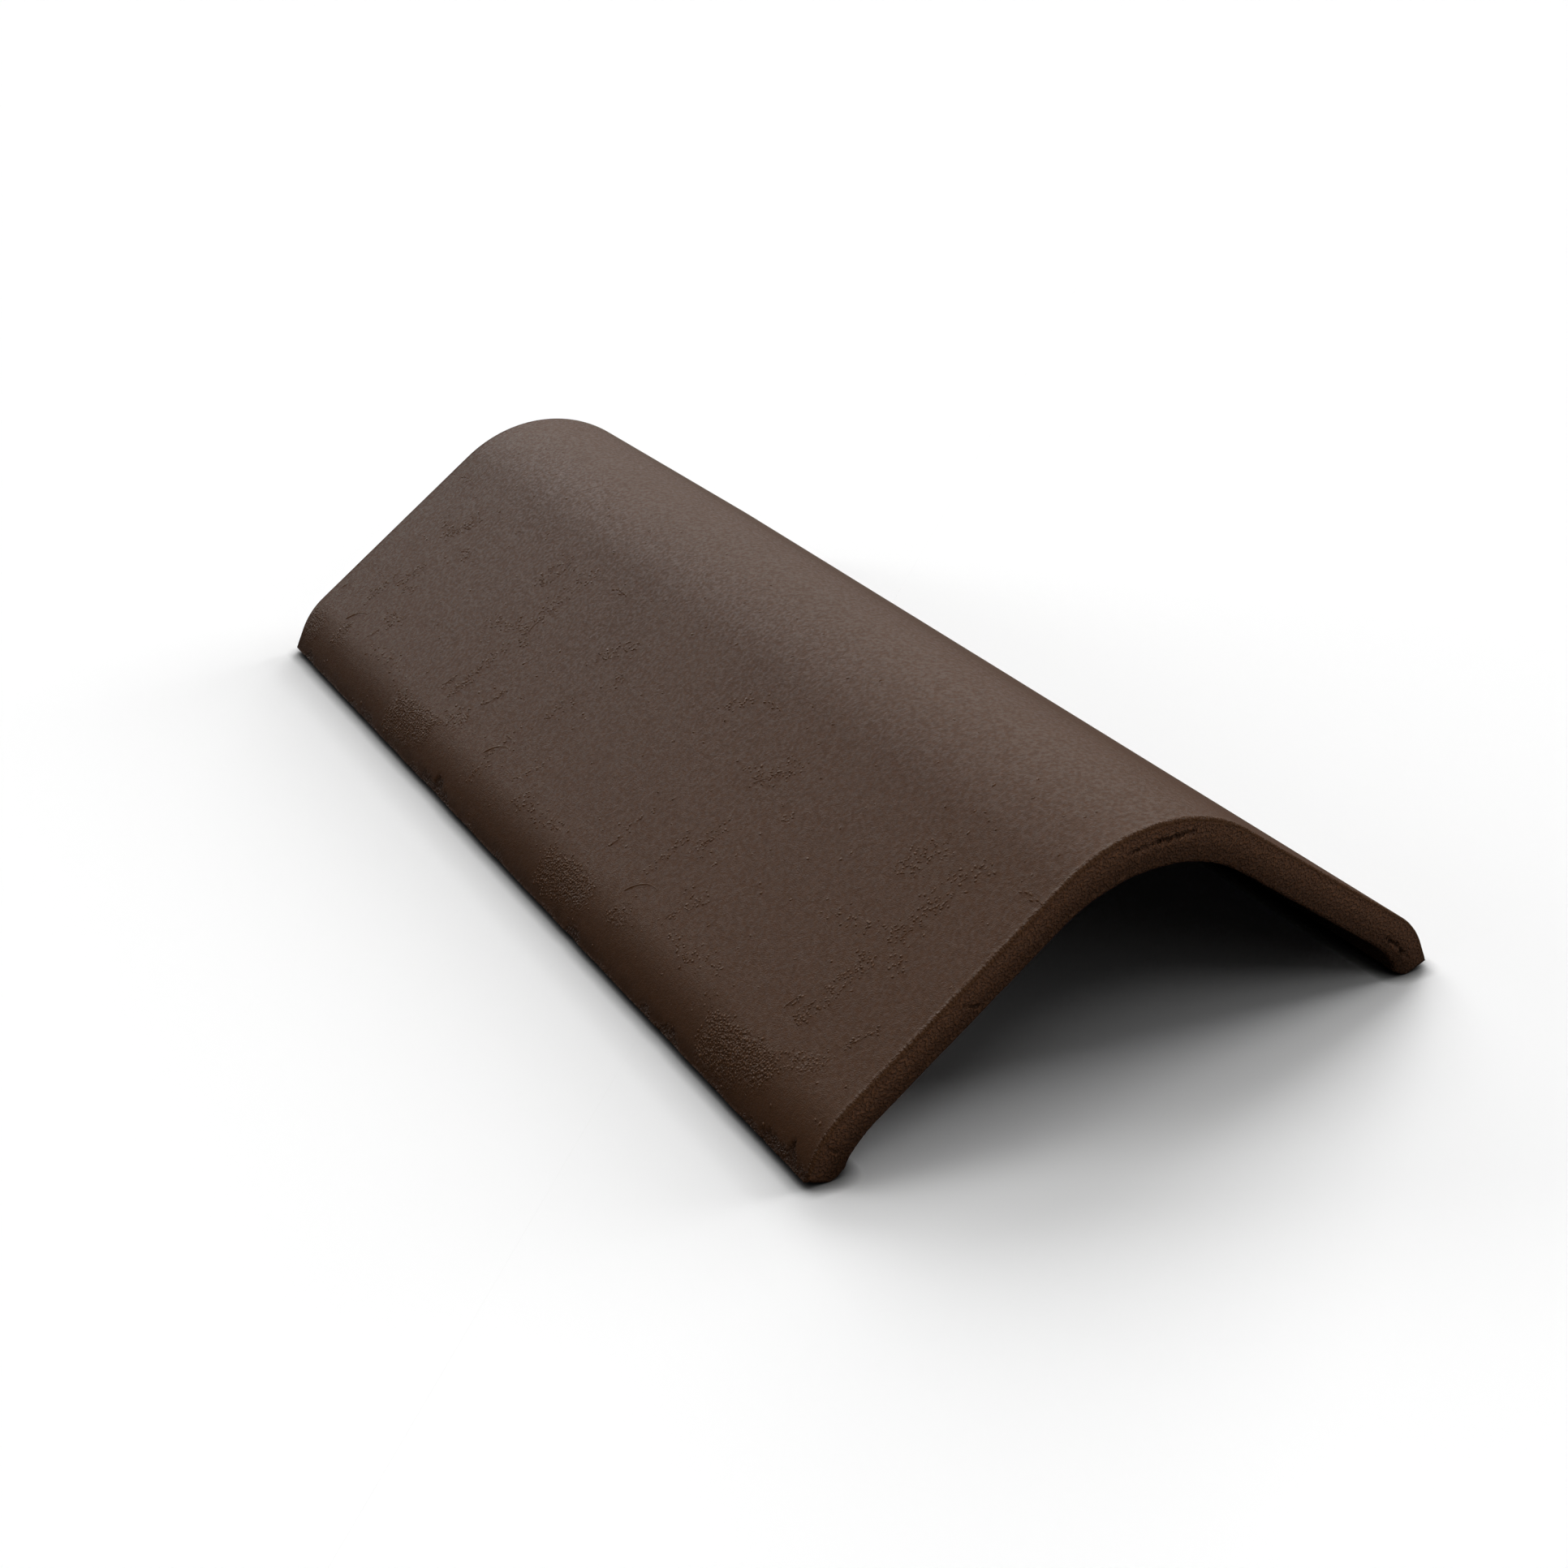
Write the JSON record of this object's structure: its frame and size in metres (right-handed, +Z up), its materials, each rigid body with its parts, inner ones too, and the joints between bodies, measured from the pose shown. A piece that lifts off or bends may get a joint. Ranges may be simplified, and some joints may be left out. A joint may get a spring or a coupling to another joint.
{
  "type": "ridge tile",
  "caption": "Angled concrete ridge tile with a rounded crown and steep feet, plain ended, that caps the line where two roof slopes meet.",
  "frame": {"origin": "bottom centre of the bounding box: on the ground, below the middle of the tile", "axes": "+X across the ridge, +Y along the ridge, +Z up through the crown"},
  "size_m": [0.23, 0.42, 0.0829],
  "materials": {
    "concrete": "through-coloured dark brown concrete, satin sealed outer face with a fine sandy grain, coarse dark cut ends"
  },
  "bodies": {
    "root": {"ridge_tile": "concrete"}
  },
  "joints": []
}
